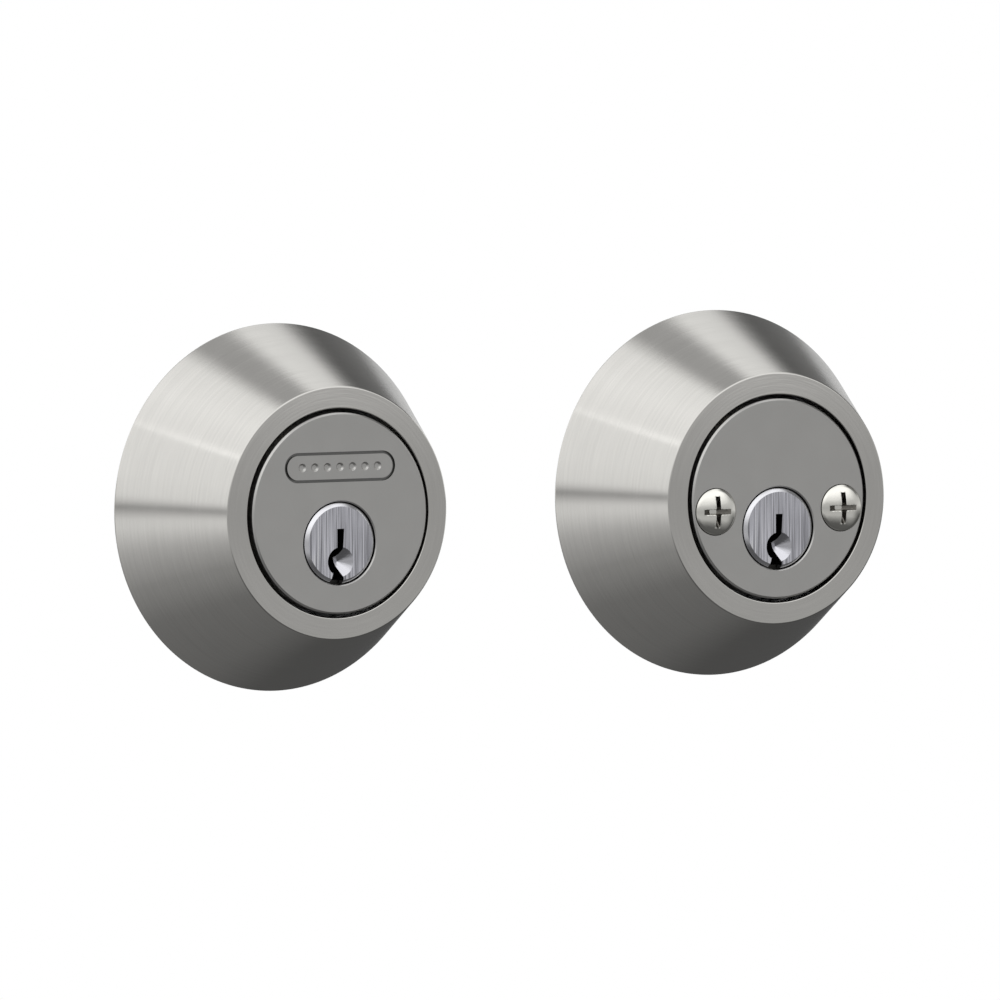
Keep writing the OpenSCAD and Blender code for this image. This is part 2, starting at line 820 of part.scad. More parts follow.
outside_collar();
outside_guard_ring();
outside_wave_spring();
outside_adapter_plate();
outside_housing();
outside_plug();
outside_key_pins();
outside_driver_pins();
outside_pin_springs();
outside_chamber_cover();
outside_plug_cap();
outside_cap_pin();
outside_tailpiece();
inside_collar();
inside_guard_ring();
inside_wave_spring();
inside_mounting_plate();
inside_housing();
inside_plug();
inside_key_pins();
inside_driver_pins();
inside_pin_springs();
inside_chamber_cover();
inside_plug_cap();
inside_cap_pin();
inside_tailpiece();
mounting_screws();
bolt_faceplate();
bolt_backplate();
bolt_tube();
case_front_half();
case_back_half();
case_rivets();
deadbolt_bar();
hardened_roller();
bolt_link();
link_rivet();
drive_pin();
cam();
detent_spring();
strike_plate();
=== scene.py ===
"""Finished looks for a double-cylinder tubular deadbolt: two round halves, the bolt and its strike.

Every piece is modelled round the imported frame. Local frames are in millimetres: a half has +X right,
+Y up and +Z to its front, and the bolt has +X to its rear. The shared frame is in metres, +Z up.
"""

import json
import logging
import math
from dataclasses import dataclass, field
from enum import Enum
from typing import Any, Callable, ClassVar, Iterable, Sequence, Union

import bmesh
import bpy
from mathutils import Matrix, Vector

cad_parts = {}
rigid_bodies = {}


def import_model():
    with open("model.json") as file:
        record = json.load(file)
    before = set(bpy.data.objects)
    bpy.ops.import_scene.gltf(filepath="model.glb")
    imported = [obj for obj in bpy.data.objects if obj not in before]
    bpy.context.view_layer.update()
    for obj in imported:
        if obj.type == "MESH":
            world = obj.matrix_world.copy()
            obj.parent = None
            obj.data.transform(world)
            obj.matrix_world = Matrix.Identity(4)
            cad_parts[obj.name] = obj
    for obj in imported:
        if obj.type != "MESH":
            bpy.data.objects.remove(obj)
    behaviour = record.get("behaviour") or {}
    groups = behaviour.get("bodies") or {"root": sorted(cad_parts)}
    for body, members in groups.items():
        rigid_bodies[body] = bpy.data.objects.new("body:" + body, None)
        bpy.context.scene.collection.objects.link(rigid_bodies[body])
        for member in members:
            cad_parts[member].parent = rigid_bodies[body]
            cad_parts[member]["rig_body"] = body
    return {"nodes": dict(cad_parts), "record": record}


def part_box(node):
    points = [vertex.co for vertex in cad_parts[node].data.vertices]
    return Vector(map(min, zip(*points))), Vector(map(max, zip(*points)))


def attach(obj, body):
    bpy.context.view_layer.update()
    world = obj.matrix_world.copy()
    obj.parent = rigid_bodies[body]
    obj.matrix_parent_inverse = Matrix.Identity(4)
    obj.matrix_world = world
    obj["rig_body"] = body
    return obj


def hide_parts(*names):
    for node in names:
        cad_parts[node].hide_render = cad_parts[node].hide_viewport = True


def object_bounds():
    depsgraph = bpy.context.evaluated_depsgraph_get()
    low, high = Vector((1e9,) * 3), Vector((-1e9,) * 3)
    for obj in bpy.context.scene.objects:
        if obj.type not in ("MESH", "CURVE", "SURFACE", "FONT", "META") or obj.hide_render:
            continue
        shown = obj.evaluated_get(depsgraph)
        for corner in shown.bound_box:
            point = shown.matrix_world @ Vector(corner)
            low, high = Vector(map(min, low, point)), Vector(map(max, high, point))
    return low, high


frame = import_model()
CAD_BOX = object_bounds()
LOG = logging.getLogger("deadbolt")

MM = 0.001
FULL_TURN = 2 * math.pi
WHITE = (1.0, 1.0, 1.0, 1.0)

# Points nearer than this are merged (mm), faces flatter are joined and sharper edges stay sharp (degrees).
MERGE_DISTANCE = 0.0005
FLAT_ANGLE = 0.4
SHARP_ANGLE = 34.0

# Patterns on the metal: lengths in metres, scales in cells for each metre or for each radian.
FINE_PITCH = 0.06 * MM
NOISE_SLOPE = 0.9
NOISE_MIDDLE = 0.5
CLOUD_SCALE = 180.0
CLOUD_DETAIL = 3.0
CLOUD_ROUGHNESS = 0.5
PATCH_SCALE = 90.0
PATCH_EDGES = (0.42, 0.66)
COARSE_ROUND = 2.0
FINE_ROUND = 7.0
COARSE_UPRIGHT = 60.0
FINE_UPRIGHT = 400.0

# Brightness that the top of a light ramp stands for.
LIGHT_TOP = 2.0

Number = Union["Signal", float]
Point = tuple[float, float]
FaceTest = Callable[[bmesh.types.BMFace], bool]


# ---------------------------------------------------------------- shader maths


class Signal:
    """One output socket of a node tree, used as a number in Python expressions."""

    def __init__(self, graph: "Graph", socket: bpy.types.NodeSocket | None) -> None:
        """Wraps a socket.

        Args:
            graph: The node tree that the socket belongs to.
            socket: The output socket, or None for a node that ends its tree.
        """
        self.graph = graph
        self.socket = socket

    def math(self, operation: str, *values: Number) -> "Signal":
        """Adds a Math node.

        Args:
            operation: The Math node's operation.
            values: The node's inputs, in order.

        Returns:
            The node's result.
        """
        inputs = dict(enumerate(values))
        return self.graph.node("ShaderNodeMath", {"operation": operation}, inputs)

    def __add__(self, other: Number) -> "Signal":
        """Sum."""
        return self.math("ADD", self, other)

    __radd__ = __add__

    def __mul__(self, other: Number) -> "Signal":
        """Product."""
        return self.math("MULTIPLY", self, other)

    __rmul__ = __mul__

    def __sub__(self, other: Number) -> "Signal":
        """Difference."""
        return self.math("SUBTRACT", self, other)

    def __rsub__(self, other: Number) -> "Signal":
        """Difference from a plain number."""
        return self.math("SUBTRACT", other, self)

    def __truediv__(self, other: Number) -> "Signal":
        """Quotient."""
        return self.math("DIVIDE", self, other)

    def hypot(self, other: "Signal") -> "Signal":
        """Length of the vector that has this and another number as its sides."""
        return self.math("SQRT", self * self + other * other)

    def smoothstep(self, low: float, high: float) -> "Signal":
        """Runs softly from 0 to 1.

        Args:
            low: The value that gives 0.
            high: The value that gives 1.

        Returns:
            The eased number.
        """
        settings = {"interpolation_type": "SMOOTHSTEP"}
        inputs = {"Value": self, "From Min": low, "From Max": high}
        return self.graph.node("ShaderNodeMapRange", settings, inputs)

    def blend(self, other: Number, share: Number) -> "Signal":
        """Mixes in another number.

        Args:
            other: The number to mix in.
            share: How much of it, from 0 to 1.

        Returns:
            The mixed number.
        """
        return self + (other - self) * share


class Graph:
    """Builds one node tree."""

    def __init__(self, tree: bpy.types.NodeTree) -> None:
        """Starts from an empty tree."""
        self.tree = tree
        tree.nodes.clear()

    def node(
        self,
        kind: str,
        settings: dict[str, Any] | None = None,
        inputs: dict[Any, Any] | None = None,
        output: int | str = 0,
    ) -> Signal:
        """Adds any node.

        Args:
            kind: The node's type.
            settings: The node's own properties, or a ramp's stops, which are set first.
            inputs: The values or signals of its sockets, by name or number.
            output: Which output to return.

        Returns:
            The chosen output.
        """
        node = self.tree.nodes.new(kind)
        for name, value in (settings or {}).items():
            if name == "stops":
                self._fill_ramp(node.color_ramp, value)
            else:
                setattr(node, name, value)
        for name, value in (inputs or {}).items():
            if isinstance(value, Signal):
                self.tree.links.new(value.socket, node.inputs[name])
            else:
                node.inputs[name].default_value = value
        socket = node.outputs[output] if len(node.outputs) else None
        return Signal(self, socket)

    @staticmethod
    def _fill_ramp(ramp: bpy.types.ColorRamp, stops: Sequence[Point]) -> None:
        """Gives a ramp its stops.

        Args:
            ramp: The ramp.
            stops: Place and grey level of each stop, in order.
        """
        while len(ramp.elements) < len(stops):
            ramp.elements.new(0.5)
        for element, (place, level) in zip(ramp.elements, stops):
            element.position = place
            element.color = (level, level, level, 1.0)

    def vector(self, x: Number, y: Number, z: Number) -> Signal:
        """Joins three numbers into a vector."""
        return self.node("ShaderNodeCombineXYZ", None, {"X": x, "Y": y, "Z": z})

    def split(self, vector: Signal) -> tuple[Signal, Signal, Signal]:
        """Splits a vector into its three numbers.

        Args:
            vector: The vector.

        Returns:
            X, Y and Z.
        """
        first = self.node("ShaderNodeSeparateXYZ", None, {"Vector": vector})
        outputs = first.socket.node.outputs
        return first, Signal(self, outputs[1]), Signal(self, outputs[2])

    def noise(self, vector: Signal, scale: float, detail: float = 2.0) -> Signal:
        """Adds a Noise texture, about 0.5 on average.

        Args:
            vector: Where to read it.
            scale: Cells per unit of the vector.
            detail: Number of finer layers.

        Returns:
            The noise.
        """
        inputs = {"Vector": vector, "Scale": scale, "Detail": detail}
        return self.node("ShaderNodeTexNoise", None, inputs)


# ---------------------------------------------------------------- finishes


class Grain(Enum):
    """How a metal surface was worked, which sets the direction of its marks."""

    TURNED_ROUND_Y = "marks run round the axis of a half"
    TURNED_ROUND_X = "marks run round the axis of the bolt"
    UPRIGHT = "marks run up and down"
    SATIN = "even, fine marks with no direction"
    CAST = "skin of a casting"


@dataclass(frozen=True)
class Finish:
    """One metal finish of the lock.

    The marks have a pitch in millimetres and a slope, and under them lies a finer blur with its own slope.
    Mottle and streak say how much the tone varies, in clouds and along the marks, and tint is the colour of
    patches.
    """

    colour: tuple[float, float, float]
    roughness: float
    grain: Grain
    line_pitch: float = 0.35
    line_slope: float = 0.05
    blur_slope: float = 0.10
    mottle: float = 0.05
    tint: tuple[float, float, float] | None = None
    streak: float = 0.05

    def material(self, name: str, centre: Vector) -> bpy.types.Material:
        """Makes the finish's material, whose tone and gloss vary a little over the piece.

        Args:
            name: The material's name.
            centre: Point on the axis that turned marks run round, in metres.

        Returns:
            The material.
        """
        made = bpy.data.materials.new(name)
        made.use_nodes = True
        graph = Graph(made.node_tree)
        where = graph.node("ShaderNodeTexCoord", None, None, "Object")
        mapping = {"vector_type": "POINT"}
        placed = {"Vector": where, "Location": tuple(-centre)}
        local = graph.node("ShaderNodeMapping", mapping, placed)
        clouds = graph.noise(local, CLOUD_SCALE, CLOUD_DETAIL)
        bump_normal, streaks = self._marks(graph, local)
        tone = 1.0 + (clouds - NOISE_MIDDLE) * (2 * self.mottle) + (streaks - NOISE_MIDDLE) * self.streak
        shade = graph.vector(tone, tone, tone)
        colour = graph.node(
            "ShaderNodeVectorMath", {"operation": "MULTIPLY"}, {0: shade, 1: self.colour}
        )
        if self.tint:
            patches = graph.noise(local, PATCH_SCALE).smoothstep(*PATCH_EDGES)
            mix = {"data_type": "VECTOR"}
            sockets = {"Factor": patches, 4: colour, 5: self.tint}
            colour = graph.node("ShaderNodeMix", mix, sockets, 1)
        roughness = self.roughness + (clouds - NOISE_MIDDLE) * (CLOUD_ROUGHNESS * self.roughness)
        shader_inputs = {
            "Base Color": colour,
            "Metallic": 1.0,
            "Roughness": roughness,
            "Normal": bump_normal,
        }
        shader = graph.node("ShaderNodeBsdfPrincipled", None, shader_inputs)
        graph.node("ShaderNodeOutputMaterial", None, {"Surface": shader})
        return made

    def _marks(self, graph: Graph, local: Signal) -> tuple[Signal, Signal]:
        """Works the surface with its marks.

        Args:
            graph: The material's node tree.
            local: Place on the piece, measured from its centre.

        Returns:
            The roughened normal, and the coarse marks as a number about 0.5.
        """
        x, y, z = graph.split(local)
        coarse_scale = 1 / (self.line_pitch * MM)
        fine_scale = 1 / FINE_PITCH
        if self.grain in (Grain.TURNED_ROUND_Y, Grain.TURNED_ROUND_X):
            along, side = (y, x) if self.grain is Grain.TURNED_ROUND_Y else (x, y)
            radius = side.hypot(z)
            across = radius + along
            turn = (side / radius, z / radius)
            coarse_at = graph.vector(across * coarse_scale, *(part * COARSE_ROUND for part in turn))
            fine_at = graph.vector(across * fine_scale, *(part * FINE_ROUND for part in turn))
        elif self.grain is Grain.UPRIGHT:
            across = x + y
            coarse_at = graph.vector(across * coarse_scale, z * COARSE_UPRIGHT, 0.0)
            fine_at = graph.vector(across * fine_scale, z * FINE_UPRIGHT, 0.0)
        else:
            stretch = {"operation": "SCALE"}
            coarse_at = graph.node("ShaderNodeVectorMath", stretch, {0: local, "Scale": coarse_scale})
            fine_at = graph.node("ShaderNodeVectorMath", stretch, {0: local, "Scale": fine_scale})
        coarse = graph.noise(coarse_at, 1.0)
        fine = graph.noise(fine_at, 1.0, detail=1.0)
        coarse_height = self.line_slope * self.line_pitch * MM / NOISE_SLOPE
        fine_height = self.blur_slope * FINE_PITCH / NOISE_SLOPE
        height = coarse * coarse_height + fine * fine_height
        bump = {"Strength": 1.0, "Distance": 1.0, "Height": height}
        return graph.node("ShaderNodeBump", None, bump), coarse


# The slots' finishes, and those of single faces; the three dark greys for single faces are painted shade.
FINISHES: dict[str, Finish] = {
    "collar_satin_nickel": Finish(
        (0.60, 0.59, 0.565), 0.145, Grain.TURNED_ROUND_Y,
        line_pitch=0.45, line_slope=0.03, blur_slope=0.065, mottle=0.02, streak=0.14,
    ),
    "face_satin_nickel": Finish(
        (0.51, 0.505, 0.49), 0.32, Grain.SATIN,
        line_pitch=0.25, line_slope=0.012, blur_slope=0.02, mottle=0.02,
    ),
    "plug_nickel": Finish(
        (0.62, 0.62, 0.67), 0.22, Grain.UPRIGHT,
        line_pitch=0.24, line_slope=0.20, blur_slope=0.12, mottle=0.12, streak=3.0,
    ),
    "polished_nickel": Finish(
        (0.74, 0.74, 0.77), 0.20, Grain.SATIN,
        line_pitch=0.8, line_slope=0.01, blur_slope=0.01, mottle=0.02,
    ),
    "dish_nickel": Finish(
        (0.62, 0.62, 0.66), 0.18, Grain.SATIN,
        line_pitch=0.4, line_slope=0.04, blur_slope=0.02, mottle=0.08,
    ),
    # Painted shade: dark grey for the shade in the screw heads' cross recesses.
    "painted_shade_recess": Finish(
        (0.22, 0.21, 0.19), 0.30, Grain.SATIN,
        line_pitch=0.5, line_slope=0.03, blur_slope=0.05, mottle=0.10,
    ),
    # Painted shade: dark grey for the shade in the badge's engraved outline.
    "painted_shade_groove": Finish(
        (0.20, 0.20, 0.195), 0.40, Grain.SATIN,
        line_pitch=0.4, line_slope=0.03, blur_slope=0.05, mottle=0.10,
    ),
    # Painted shade: near black for the shade deep in the bore round the plug and on the keyway walls.
    "painted_shade_bore": Finish(
        (0.035, 0.034, 0.032), 0.45, Grain.SATIN,
        line_pitch=0.5, line_slope=0.03, blur_slope=0.05, mottle=0.10,
    ),
    "screw_nickel": Finish(
        (0.80, 0.79, 0.74), 0.08, Grain.SATIN,
        line_pitch=0.8, line_slope=0.01, blur_slope=0.02, mottle=0.02,
    ),
    "edge_satin_nickel": Finish(
        (0.60, 0.59, 0.565), 0.18, Grain.UPRIGHT,
        line_pitch=0.4, line_slope=0.05, blur_slope=0.10, mottle=0.03,
    ),
    "hard_steel": Finish(
        (0.26, 0.26, 0.27), 0.30, Grain.TURNED_ROUND_Y,
        line_pitch=0.5, line_slope=0.06, blur_slope=0.08, mottle=0.10,
    ),
    "roller_steel": Finish(
        (0.30, 0.30, 0.31), 0.22, Grain.TURNED_ROUND_X,
        line_pitch=0.5, line_slope=0.05, blur_slope=0.08, mottle=0.08,
    ),
    "zinc_plated_steel": Finish(
        (0.66, 0.68, 0.71), 0.40, Grain.SATIN,
        line_pitch=0.6, line_slope=0.02, blur_slope=0.05, mottle=0.06, tint=(0.70, 0.69, 0.63),
    ),
    "bolt_steel": Finish(
        (0.56, 0.56, 0.55), 0.20, Grain.UPRIGHT,
        line_pitch=0.4, line_slope=0.06, blur_slope=0.10, mottle=0.06,
    ),
    "spring_steel": Finish(
        (0.52, 0.52, 0.53), 0.22, Grain.SATIN,
        line_pitch=0.5, line_slope=0.03, blur_slope=0.04, mottle=0.05,
    ),
    "brass": Finish(
        (0.78, 0.60, 0.30), 0.22, Grain.SATIN,
        line_pitch=0.5, line_slope=0.03, blur_slope=0.05, mottle=0.06,
    ),
    "plain_steel": Finish(
        (0.50, 0.50, 0.51), 0.28, Grain.SATIN,
        line_pitch=0.6, line_slope=0.03, blur_slope=0.05, mottle=0.08,
    ),
    "cast_zinc": Finish(
        (0.47, 0.48, 0.50), 0.38, Grain.CAST,
        line_pitch=0.9, line_slope=0.12, blur_slope=0.10, mottle=0.08,
    ),
}


class Wardrobe:
    """Keeps one material for each finish and place, so that pieces share it."""

    def __init__(self) -> None:
        """Starts with no materials made."""
        self.made: dict[str, bpy.types.Material] = {}

    def material(self, finish: str, place: str, centre: Vector) -> bpy.types.Material:
        """Gives a finish's material.

        Args:
            finish: Name of the finish.
            place: Name of the group that the piece belongs to.
            centre: Point on that group's axis, in metres.

        Returns:
            The material, made on first use.
        """
        name = f"{finish}.{place}"
        if name not in self.made:
            self.made[name] = FINISHES[finish].material(name, centre)
        return self.made[name]


WARDROBE = Wardrobe()
SLOT_OF = {row["node"]: row["material_slot"] for row in frame["record"]["subparts"]}


# ---------------------------------------------------------------- modelling


@dataclass
class Place:
    """A local frame in millimetres, set in the shared frame, with the axis that its finishes follow."""

    name: str
    matrix: Matrix
    centre: Vector


class Shape:
    """One piece while it is modelled: a bmesh in a local frame, in millimetres."""

    def __init__(self) -> None:
        """Starts with nothing."""
        self.bm = bmesh.new()

    @classmethod
    def from_node(cls, node: str, place: Place) -> "Shape":
        """Starts from a merged copy of a CAD node.

        Args:
            node: The node's name.
            place: The local frame to bring it into.

        Returns:
            The shape, with its flat faces whole.
        """
        shape = cls()
        shape.bm.from_mesh(frame["nodes"][node].data)
        bmesh.ops.transform(shape.bm, matrix=place.matrix.inverted(), verts=shape.bm.verts)
        bmesh.ops.remove_doubles(shape.bm, verts=shape.bm.verts, dist=MERGE_DISTANCE)
        flat = math.radians(FLAT_ANGLE)
        bmesh.ops.dissolve_limit(
            shape.bm, angle_limit=flat, verts=shape.bm.verts, edges=shape.bm.edges, delimit={"NORMAL"}
        )
        return shape

    def wire(self, points: Iterable[Sequence[float]], closed: bool) -> list[Any]:
        """Draws a line through points.

        Args:
            points: The points, as X, Y and Z.
            closed: Whether the last point joins the first.

        Returns:
            The new vertices and edges.
        """
        verts = [self.bm.verts.new(point) for point in points]
        pairs = list(zip(verts, verts[1:]))
        if closed:
            pairs.append((verts[-1], verts[0]))
        return verts + [self.bm.edges.new(pair) for pair in pairs]

    def turn(self, profile: Sequence[Point], steps: int, closed: bool = True) -> "Shape":
        """Turns a profile all the way round +Z.

        Args:
            profile: Radius and height of each point.
            steps: Number of steps in the full turn.
            closed: Whether the profile is a ring and not an open line that ends on the axis.

        Returns:
            This shape.
        """
        geometry = self.wire([(r, 0.0, h) for r, h in profile], closed)
        bmesh.ops.spin(
            self.bm, geom=geometry, cent=(0, 0, 0), axis=(0, 0, 1), angle=FULL_TURN,
            steps=steps, use_merge=True,
        )
        bmesh.ops.remove_doubles(self.bm, verts=self.bm.verts, dist=MERGE_DISTANCE)
        bmesh.ops.recalc_face_normals(self.bm, faces=self.bm.faces)
        return self

    def coil(self, section: Sequence[Point], pitch: float, turns: float, steps: int) -> "Shape":
        """Winds a section up +Z and closes its two ends.

        Args:
            section: Radius and height of each point of the section.
            pitch: Rise in one turn.
            turns: Number of turns.
            steps: Steps in one turn.

        Returns:
            This shape.
        """
        geometry = self.wire([(r, 0.0, h) for r, h in section], True)
        bmesh.ops.spin(
            self.bm, geom=geometry, cent=(0, 0, 0), axis=(0, 0, 1), dvec=(0, 0, pitch / steps),
            angle=FULL_TURN * turns, steps=round(turns * steps), use_merge=False,
        )
        open_edges = [edge for edge in self.bm.edges if edge.is_boundary]
        bmesh.ops.holes_fill(self.bm, edges=open_edges, sides=0)
        bmesh.ops.recalc_face_normals(self.bm, faces=self.bm.faces)
        return self

    def soften(self, offset: float, segments: int = 3, sharper_than: float = 25.0) -> "Shape":
        """Rounds the sharp edges.

        Args:
            offset: Width taken from each face.
            segments: Number of strips in the rounding.
            sharper_than: Least angle of an edge that is rounded, in degrees.

        Returns:
            This shape.
        """
        limit = math.radians(sharper_than)
        sharp = [
            edge for edge in self.bm.edges if len(edge.link_faces) == 2 and edge.calc_face_angle() > limit
        ]
        bmesh.ops.bevel(
            self.bm, geom=sharp, offset=offset, offset_type="OFFSET", segments=segments,
            profile=0.5, affect="EDGES", material=-1, clamp_overlap=True,
        )
        return self

    def add(self, other: "Shape", matrix: Matrix) -> None:
        """Takes in a copy of another shape.

        Args:
            other: The shape to copy.
            matrix: Where the copy goes.
        """
        mesh = bpy.data.meshes.new("copy")
        other.bm.to_mesh(mesh)
        mesh.transform(matrix)
        self.bm.from_mesh(mesh)
        bpy.data.meshes.remove(mesh)

    def finish(
        self, node: str, place: Place, finish: str = "", accents: dict[str, FaceTest] | None = None
    ) -> None:
        """Makes the piece that stands for a CAD node, dressed and riding on the node's body.

        Args:
            node: The CAD node.
            place: The local frame that the shape is in.
            finish: Name of its finish, where it isn't the name of its slot.
            accents: Finishes for some of its faces, each with a test that picks the faces.
        """
        accents = accents or {}
        slot = SLOT_OF[node]
        mesh = bpy.data.meshes.new(node + ".finished")
        for number, test in enumerate(accents.values(), start=1):
            for face in self.bm.faces:
                if test(face):
                    face.material_index = number
        bmesh.ops.transform(self.bm, matrix=place.matrix, verts=self.bm.verts)
        self.bm.to_mesh(mesh)
        self.bm.free()
        mesh.shade_smooth()
        mesh.set_sharp_from_angle(angle=math.radians(SHARP_ANGLE))
        for worn in (finish or slot, *accents):
            mesh.materials.append(WARDROBE.material(worn, place.name, place.centre))
        piece = bpy.data.objects.new(node + ".finished", mesh)
        bpy.context.scene.collection.objects.link(piece)
        weighted = piece.modifiers.new("even shading", "WEIGHTED_NORMAL")
        weighted.keep_sharp = True
        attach(piece, frame["nodes"][node]["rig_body"])
        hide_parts(node)
        LOG.info("%s: %d faces, %s", node, len(mesh.polygons), slot)


def refine(nodes: Iterable[str], place: Place, bevel: float, finish: str = "") -> None:
    """Rounds and dresses merged copies of CAD nodes.

    Args:
        nodes: Names of the nodes.
        place: The group that they belong to.
        bevel: Width of the rounding on their edges, in millimetres.
        finish: Name of the finish, where it isn't the name of the slot.
    """
    for node in nodes:
        Shape.from_node(node, place).soften(bevel, segments=2).finish(node, place, finish)


# ---------------------------------------------------------------- the two halves


class Side(Enum):
    """Which side of the door a half is on."""

    OUTSIDE = "outside"
    INSIDE = "inside"


@dataclass
class CylinderHalf:
    """One round half of the lock: collar, guard, plate, housing, plug and pins. Sizes in millimetres."""

    side: Side
    collar_r: float = 31.75
    rim_h: float = 0.5
    ring_r: float = 21.85
    ring_hole_r: float = 18.05
    collar_h: float = 22.2
    ring_fall: float = 0.4
    flange_t: float = 3.0
    rim_wall: float = 2.45
    ring_wall: float = 0.9
    ring_edge: float = 0.24
    collar_steps: int = 256
    guard_inner_r: float = 18.3
    guard_outer_r: float = 20.2
    guard_flange_r: float = 26.8
    guard_flange_t: float = 1.6
    guard_fillet: float = 1.0
    guard_top: float = 16.6
    guard_edge: float = 0.25
    guard_steps: int = 160
    plate_t: float = 2.0
    plate_edge: float = 0.2
    wave_inset: float = 0.4
    wave_t: float = 0.4
    wave_rise: float = 0.7
    wave_count: int = 3
    wave_edge: float = 0.06
    wave_steps: int = 144
    wire: float = 0.36
    wire_sides: int = 6
    spring_r: float = 1.1
    spring_turns: float = 5.0
    spring_steps: int = 20
    pin_count: int = 5
    pin_pitch: float = 3.96
    small_edge: float = 0.15
    housing_edge: float = 0.06
    counterbore_r: float = 7.2
    bore_slack: float = 0.1
    # Depth behind the housing's face at which the painted shade in the bore starts.
    bore_shade_from: float = 0.25
    badge_w: float = 22.0
    badge_h: float = 5.2
    badge_y: float = 8.0
    badge_line: float = 0.5
    badge_slack: float = 0.03
    badge_depth: float = 0.2
    plug_r: float = 6.35
    plug_proud: float = 0.2
    plug_edge: float = 0.05
    shoulder_inner_r: float = 6.05
    shoulder_depth: float = 0.5
    keyway_r: float = 6.25
    dish_depth: float = 1.4
    # Z of a face's normal: more than level on a flat front, more than tilted on a slope and less than
    # upright on a wall.
    level: float = 0.97
    tilted: float = 0.3
    upright: float = 0.2
    place: Place = field(init=False)
    plug_y: float = field(init=False)
    plug_front: float = field(init=False)

    def __post_init__(self) -> None:
        """Finds the half's axis and face in the frame."""
        low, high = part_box(self.node("collar"))
        axis_x = (low.x + high.x) / 2
        matrix = Matrix.Translation((axis_x, 0, 0)) @ Matrix.Rotation(math.pi / 2, 4, "X")
        centre = Vector((axis_x, 0, 0))
        self.place = Place(self.side.value, matrix @ Matrix.Scale(MM, 4), centre)
        low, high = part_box(self.node("plug"))
        self.plug_y = (low.z + high.z) / 2 / MM
        self.plug_front = -low.y / MM

    def node(self, part: str) -> str:
        """Full name of one of this half's nodes."""
        return f"{self.side.value}_{part}"

    def build(self) -> None:
        """Builds every piece of the half."""
        self.collar()
        self.guard_ring()
        self.wave_spring()
        self.pin_springs()
        plate = "adapter_plate" if self.side is Side.OUTSIDE else "mounting_plate"
        refine([self.node(plate)], self.place, self.plate_edge)
        self.housing()
        self.plug()
        small = ("key_pins", "driver_pins", "chamber_cover", "plug_cap", "cap_pin", "tailpiece")
        refine([self.node(part) for part in small], self.place, self.small_edge)

    def housing(self) -> None:
        """Finishes the housing: satin face, painted shade deep in the bore, painted shade in the line round
        the badge.
        """
        shape = Shape.from_node(self.node("housing"), self.place).soften(self.housing_edge)
        # Painted shade: the deep bore walls and the badge's outline get dark finishes for the shade in
        # them.
        accents = {"painted_shade_bore": self._in_bore, "painted_shade_groove": self._in_badge_line}
        shape.finish(self.node("housing"), self.place, accents=accents)

    def plug(self) -> None:
        """Finishes the plug: brushed face, polished shoulder, painted shade on the keyway walls, bright
        dish.
        """
        shape = Shape.from_node(self.node("plug"), self.place).soften(self.plug_edge)
        accents = {
            "polished_nickel": self._on_shoulder,
            # Painted shade: the keyway walls get near black for the shade in them.
            "painted_shade_bore": self._in_keyway,
            "dish_nickel": self._in_dish,
        }
        shape.finish(self.node("plug"), self.place, accents=accents)

    def _in_bore(self, face: bmesh.types.BMFace) -> bool:
        """Tells whether a face of the housing is deep in the bore round the plug.

        Args:
            face: The face, in the local frame.

        Returns:
            Whether it is.
        """
        deep = self.plug_front - self.plug_proud - self.bore_shade_from
        inside = self._from_plug(face) < self.counterbore_r + self.bore_slack
        return inside and face.calc_center_median().z < deep

    def _in_badge_line(self, face: bmesh.types.BMFace) -> bool:
        """Tells whether a face of the housing is part of the badge's engraved outline.

        Args:
            face: The face, in the local frame.

        Returns:
            Whether all its corners are on the line and one of them is deep enough.
        """
        straight = (self.badge_w - self.badge_h) / 2
        middle = (self.badge_h - self.badge_line) / 2
        reach = self.badge_line / 2 + self.badge_slack
        deep = self.plug_front - self.plug_proud - self.badge_depth
        on_line = all(
            abs(math.hypot(max(abs(v.co.x) - straight, 0), v.co.y - self.badge_y) - middle) < reach
            for v in face.verts
        )
        return on_line and min(v.co.z for v in face.verts) < deep

    def _on_shoulder(self, face: bmesh.types.BMFace) -> bool:
        """Tells whether a face of the plug is on the sloping shoulder round its front."""
        front = face.calc_center_median().z > self.plug_front - self.shoulder_depth
        return front and self._from_plug(face) > self.shoulder_inner_r and face.normal.z < self.level

    def _in_keyway(self, face: bmesh.types.BMFace) -> bool:
        """Tells whether a face of the plug is a wall of its keyway or of a hole in it."""
        return abs(face.normal.z) < self.upright and self._from_plug(face) < self.keyway_r

    def _in_dish(self, face: bmesh.types.BMFace) -> bool:
        """Tells whether a face of the plug is in the hollow that leads the key in."""
        front = face.calc_center_median().z > self.plug_front - self.dish_depth
        return front and self._from_plug(face) < self.plug_r and self.tilted < face.normal.z < self.level

    def _from_plug(self, face: bmesh.types.BMFace) -> float:
        """Distance of a face's middle from the plug's axis, in millimetres."""
        middle = face.calc_center_median()
        return math.hypot(middle.x, middle.y - self.plug_y)

    def collar(self) -> None:
        """Turns the tapered collar with its front ring, which falls back a little to its outer edge."""
        under_ring = self.collar_h - self.flange_t
        profile = [
            (self.collar_r - self.rim_wall, 0), (self.collar_r, 0), (self.collar_r, self.rim_h),
            (self.ring_r, self.collar_h - self.ring_fall), (self.ring_hole_r, self.collar_h),
            (self.ring_hole_r, under_ring), (self.ring_r - self.ring_wall, under_ring),
        ]
        shape = Shape().turn(profile, self.collar_steps).soften(self.ring_edge)
        shape.finish(self.node("collar"), self.place)

